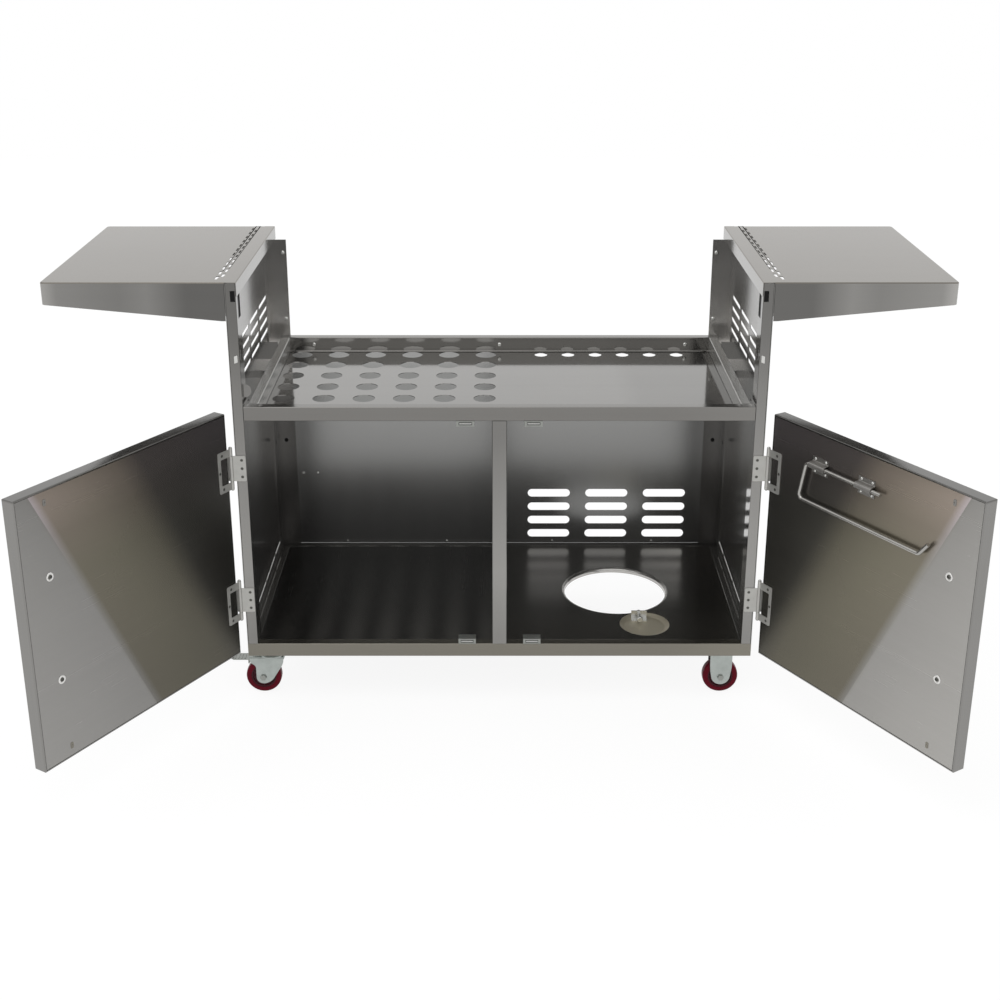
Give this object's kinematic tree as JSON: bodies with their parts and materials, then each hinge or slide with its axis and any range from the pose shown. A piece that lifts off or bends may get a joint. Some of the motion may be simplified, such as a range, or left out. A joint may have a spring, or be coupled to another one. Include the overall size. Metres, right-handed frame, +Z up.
{
  "type": "grill cart",
  "caption": "Wheeled stainless cabinet with doors, side shelves and an open perforated deck that carries a drop-in gas grill head above a tank bay.",
  "frame": {"origin": "centre of the floor under the whole cart, doors open, on the plane where the wheels stand", "axes": "+X to the viewer's right across the doors, +Y from the door side to the back panel, +Z up"},
  "size_m": [1.782, 0.9846, 0.919],
  "materials": {
    "brushed_steel": "folded stainless sheet with a fine brushed, half-bright face",
    "polished_steel": "bright polished stainless",
    "zinc": "bright zinc plate on steel",
    "red_tread": "smooth dark red polyurethane",
    "wheel_core": "satin cast core",
    "guide_plastic": "matt black moulded plastic"
  },
  "bodies": {
    "cart": {"base_front_rail": "brushed_steel", "base_rear_rail": "brushed_steel", "base_left_rail": "brushed_steel", "base_right_rail": "brushed_steel", "base_centre_rail": "brushed_steel", "floor_left": "brushed_steel", "floor_right": "brushed_steel", "tank_lock_bracket": "zinc", "front_post_left": "brushed_steel", "front_post_right": "brushed_steel", "rear_post_left": "brushed_steel", "rear_post_right": "brushed_steel", "side_skin_left": "brushed_steel", "side_skin_right": "brushed_steel", "back_panel": "brushed_steel", "centre_stile": "brushed_steel", "deck_front_rail": "brushed_steel", "deck_rear_rail": "brushed_steel", "deck_left_rail": "brushed_steel", "deck_right_rail": "brushed_steel", "deck_plate": "brushed_steel", "deck_brackets": "brushed_steel", "magnet_catches": "zinc", "frame_screws": "zinc", "shelf_hangers": "brushed_steel", "post_guides": "guide_plastic", "post_leaves": "polished_steel", "hinge_pins": "polished_steel", "swivel_plates": "zinc", "rigid_forks": "zinc", "rigid_axles": "zinc"},
    "left_door": {"left_door_pan": "brushed_steel", "left_door_liner": "brushed_steel", "left_handle": "polished_steel", "left_handle_screws": "zinc", "left_door_leaves": "polished_steel"},
    "right_door": {"right_door_pan": "brushed_steel", "right_door_liner": "brushed_steel", "right_handle": "polished_steel", "right_handle_screws": "zinc", "right_door_leaves": "polished_steel", "towel_clamps": "brushed_steel"},
    "towel_rod": {"towel_bar": "zinc"},
    "left_shelf": {"shelf_left": "brushed_steel"},
    "right_shelf": {"shelf_right": "brushed_steel"},
    "lock_screw": {"tank_lock_screw": "zinc"},
    "front_swivel": {"front_swivel_fork": "zinc", "front_swivel_axle": "zinc"},
    "rear_swivel": {"rear_swivel_fork": "zinc", "rear_swivel_axle": "zinc"},
    "front_brake": {"front_brake_pedal": "zinc"},
    "rear_brake": {"rear_brake_pedal": "zinc"},
    "front_left_wheel": {"front_left_hub": "wheel_core", "front_left_tyre": "red_tread"},
    "rear_left_wheel": {"rear_left_hub": "wheel_core", "rear_left_tyre": "red_tread"},
    "front_right_wheel": {"front_right_hub": "wheel_core", "front_right_tyre": "red_tread"},
    "rear_right_wheel": {"rear_right_hub": "wheel_core", "rear_right_tyre": "red_tread"}
  },
  "joints": [
    {"name": "left_door_hinge", "type": "hinge", "parent": "cart", "child": "left_door", "pos_m": [-0.5425, -0.03171, 0.385], "axis": [0, 0, -1], "range_deg": [-121.76, 58.24]},
    {"name": "right_door_hinge", "type": "hinge", "parent": "cart", "child": "right_door", "pos_m": [0.5425, -0.03171, 0.385], "axis": [0, 0, 1], "range_deg": [-121.76, 58.24]},
    {"name": "towel_rod_pivot", "type": "hinge", "parent": "right_door", "child": "towel_rod", "pos_m": [0.64723, -0.21856, 0.5869], "axis": [-0.5264, 0.8503, 0], "range_deg": [0, 90]},
    {"name": "left_shelf_lift", "type": "slide", "parent": "cart", "child": "left_shelf", "axis": [0, 0, 1], "range_m": [0, 0.06]},
    {"name": "right_shelf_lift", "type": "slide", "parent": "cart", "child": "right_shelf", "axis": [0, 0, 1], "range_m": [0, 0.06]},
    {"name": "tank_lock_travel", "type": "slide", "parent": "cart", "child": "lock_screw", "axis": [0, 1, 0], "range_m": [0, 0.022]},
    {"name": "front_swivel_turn", "type": "hinge", "parent": "cart", "child": "front_swivel", "pos_m": [-0.49, 0.01329, 0.09], "axis": [0, 0, 1], "continuous": true},
    {"name": "rear_swivel_turn", "type": "hinge", "parent": "cart", "child": "rear_swivel", "pos_m": [-0.49, 0.44729, 0.09], "axis": [0, 0, 1], "continuous": true},
    {"name": "front_brake_tilt", "type": "hinge", "parent": "front_swivel", "child": "front_brake", "pos_m": [-0.5305, 0.01329, 0.078], "axis": [0, -1, 0], "range_deg": [0, 12]},
    {"name": "rear_brake_tilt", "type": "hinge", "parent": "rear_swivel", "child": "rear_brake", "pos_m": [-0.5305, 0.44729, 0.078], "axis": [0, -1, 0], "range_deg": [0, 12]},
    {"name": "front_left_roll", "type": "hinge", "parent": "front_swivel", "child": "front_left_wheel", "pos_m": [-0.5095, 0.01329, 0.0381], "axis": [0, 1, 0], "continuous": true},
    {"name": "rear_left_roll", "type": "hinge", "parent": "rear_swivel", "child": "rear_left_wheel", "pos_m": [-0.5095, 0.44729, 0.0381], "axis": [0, 1, 0], "continuous": true},
    {"name": "front_right_roll", "type": "hinge", "parent": "cart", "child": "front_right_wheel", "pos_m": [0.477, 0.01329, 0.0381], "axis": [0, 1, 0], "continuous": true},
    {"name": "rear_right_roll", "type": "hinge", "parent": "cart", "child": "rear_right_wheel", "pos_m": [0.477, 0.44729, 0.0381], "axis": [0, 1, 0], "continuous": true}
  ]
}
